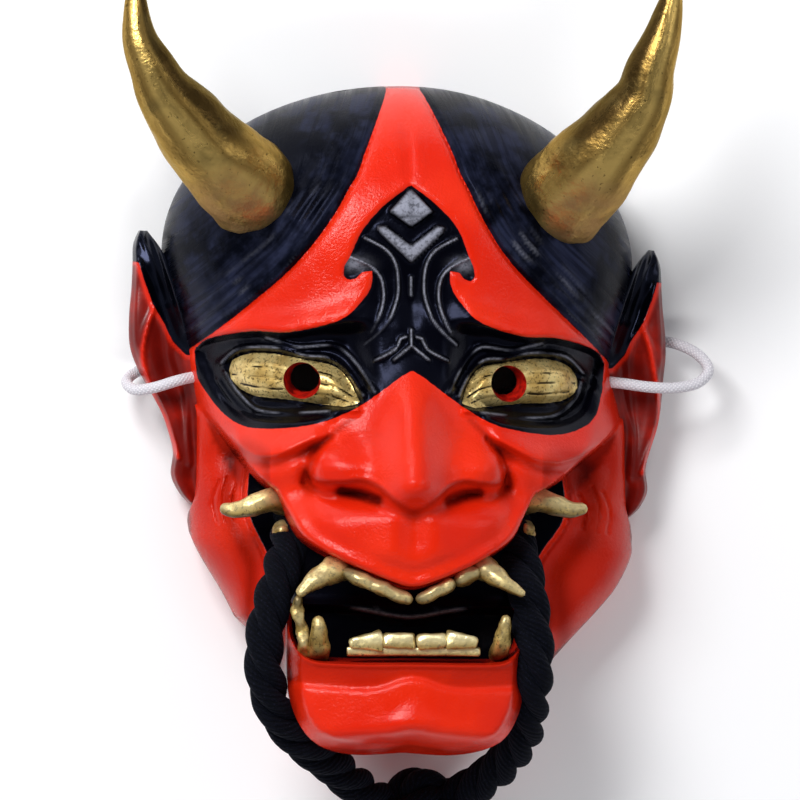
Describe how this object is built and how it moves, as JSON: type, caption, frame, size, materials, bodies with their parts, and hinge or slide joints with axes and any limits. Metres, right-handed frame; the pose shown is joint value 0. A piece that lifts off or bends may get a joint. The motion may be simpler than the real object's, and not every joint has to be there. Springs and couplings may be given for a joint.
{
  "type": "mask",
  "caption": "Horned demon theatre mask cast in one piece, with pointed ears, bared teeth, a rope from each corner of the mouth and an elastic cord.",
  "frame": {"origin": "under the middle of the cast's outline, on the surface that the mask lies on with its back rim", "axes": "+X to the viewer's right of the face, +Y from the chin to the crown and horn tips, +Z out of the face towards the nose"},
  "size_m": [0.2036, 0.3457, 0.1061],
  "materials": {
    "painted_cast": "gloss vermilion paint, with black and old gold",
    "rope": "black twisted cotton",
    "elastic": "white round elastic"
  },
  "bodies": {
    "root": {"mask": "painted_cast", "rope_left": "rope", "rope_right": "rope", "rope_knot": "rope", "rope_tail_left": "rope", "rope_tail_right": "rope", "elastic_strap": "elastic"}
  },
  "joints": []
}
